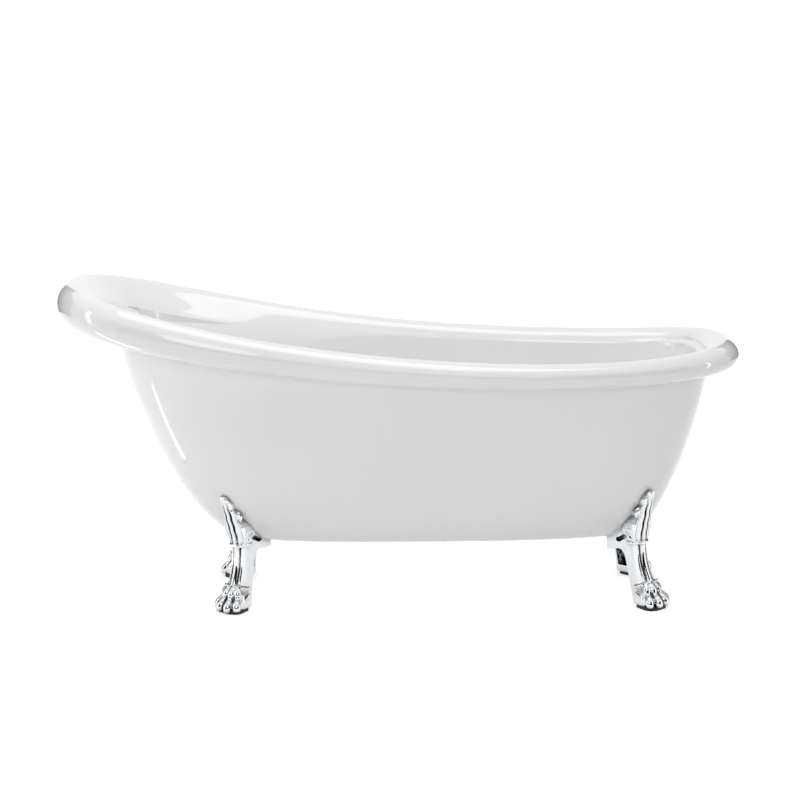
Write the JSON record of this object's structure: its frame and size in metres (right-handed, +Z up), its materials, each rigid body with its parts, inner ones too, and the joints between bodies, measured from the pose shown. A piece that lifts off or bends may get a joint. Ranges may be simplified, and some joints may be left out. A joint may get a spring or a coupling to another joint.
{
  "type": "clawfoot bathtub",
  "caption": "Freestanding roll-top slipper bath with a rolled rim rising to one end, carried on cast claw feet with levelling pads, a click-clack waste and an overflow.",
  "frame": {"origin": "on the floor under the middle of the bath's bounding box", "axes": "+X towards the low end with the waste, +Y across the bath, +Z up"},
  "size_m": [1.6972, 0.7497, 0.8115],
  "materials": {
    "enamel": "glossy white",
    "chrome_casting": "polished plating on a casting",
    "board": "bare plywood",
    "galvanised": "galvanised sheet",
    "zinc": "zinc plated",
    "chrome": "polished",
    "brass": "bare",
    "rubber": "matt black",
    "grey_plastic": "moulded"
  },
  "bodies": {
    "bath": {"basin": "enamel", "outer_shell": "enamel", "base_board": "board", "cross_rail_high": "galvanised", "cross_rail_mid": "galvanised", "cross_rail_low": "galvanised", "foot_washers": "zinc", "foot_nuts": "zinc", "level_nuts": "zinc", "waste_flange": "chrome", "waste_gasket": "rubber", "lower_gasket": "rubber", "waste_body": "grey_plastic", "tailpiece": "chrome", "tail_seal": "rubber", "outlet_nut": "grey_plastic", "overflow_seal": "rubber", "overflow_gasket": "rubber", "overflow_cover": "chrome", "overflow_screw": "chrome", "overflow_elbow": "grey_plastic", "overflow_pipe": "grey_plastic", "overflow_nut": "grey_plastic", "inlet_nut": "grey_plastic", "claw_foot_high_front": "chrome_casting", "anchor_plate_high_front": "zinc", "bedding_pad_high_front": "rubber", "claw_foot_high_back": "chrome_casting", "anchor_plate_high_back": "zinc", "bedding_pad_high_back": "rubber", "claw_foot_low_front": "chrome_casting", "anchor_plate_low_front": "zinc", "bedding_pad_low_front": "rubber", "claw_foot_low_back": "chrome_casting", "anchor_plate_low_back": "zinc", "bedding_pad_low_back": "rubber"},
    "leveller_high_front": {"level_stud_high_front": "zinc", "level_pad_high_front": "rubber"},
    "leveller_high_back": {"level_stud_high_back": "zinc", "level_pad_high_back": "rubber"},
    "leveller_low_front": {"level_stud_low_front": "zinc", "level_pad_low_front": "rubber"},
    "leveller_low_back": {"level_stud_low_back": "zinc", "level_pad_low_back": "rubber"},
    "plug": {"plug_cap": "chrome", "plug_seal": "rubber", "plug_stem": "brass"}
  },
  "joints": [
    {"name": "level_high_front", "type": "slide", "parent": "bath", "child": "leveller_high_front", "axis": [0, 0, -1], "range_m": [0, 0.012]},
    {"name": "level_high_back", "type": "slide", "parent": "bath", "child": "leveller_high_back", "axis": [0, 0, -1], "range_m": [0, 0.012]},
    {"name": "level_low_front", "type": "slide", "parent": "bath", "child": "leveller_low_front", "axis": [0, 0, -1], "range_m": [0, 0.012]},
    {"name": "level_low_back", "type": "slide", "parent": "bath", "child": "leveller_low_back", "axis": [0, 0, -1], "range_m": [0, 0.012]},
    {"name": "plug_lift", "type": "slide", "parent": "bath", "child": "plug", "axis": [0, 0, 1], "range_m": [0, 0.009]}
  ]
}
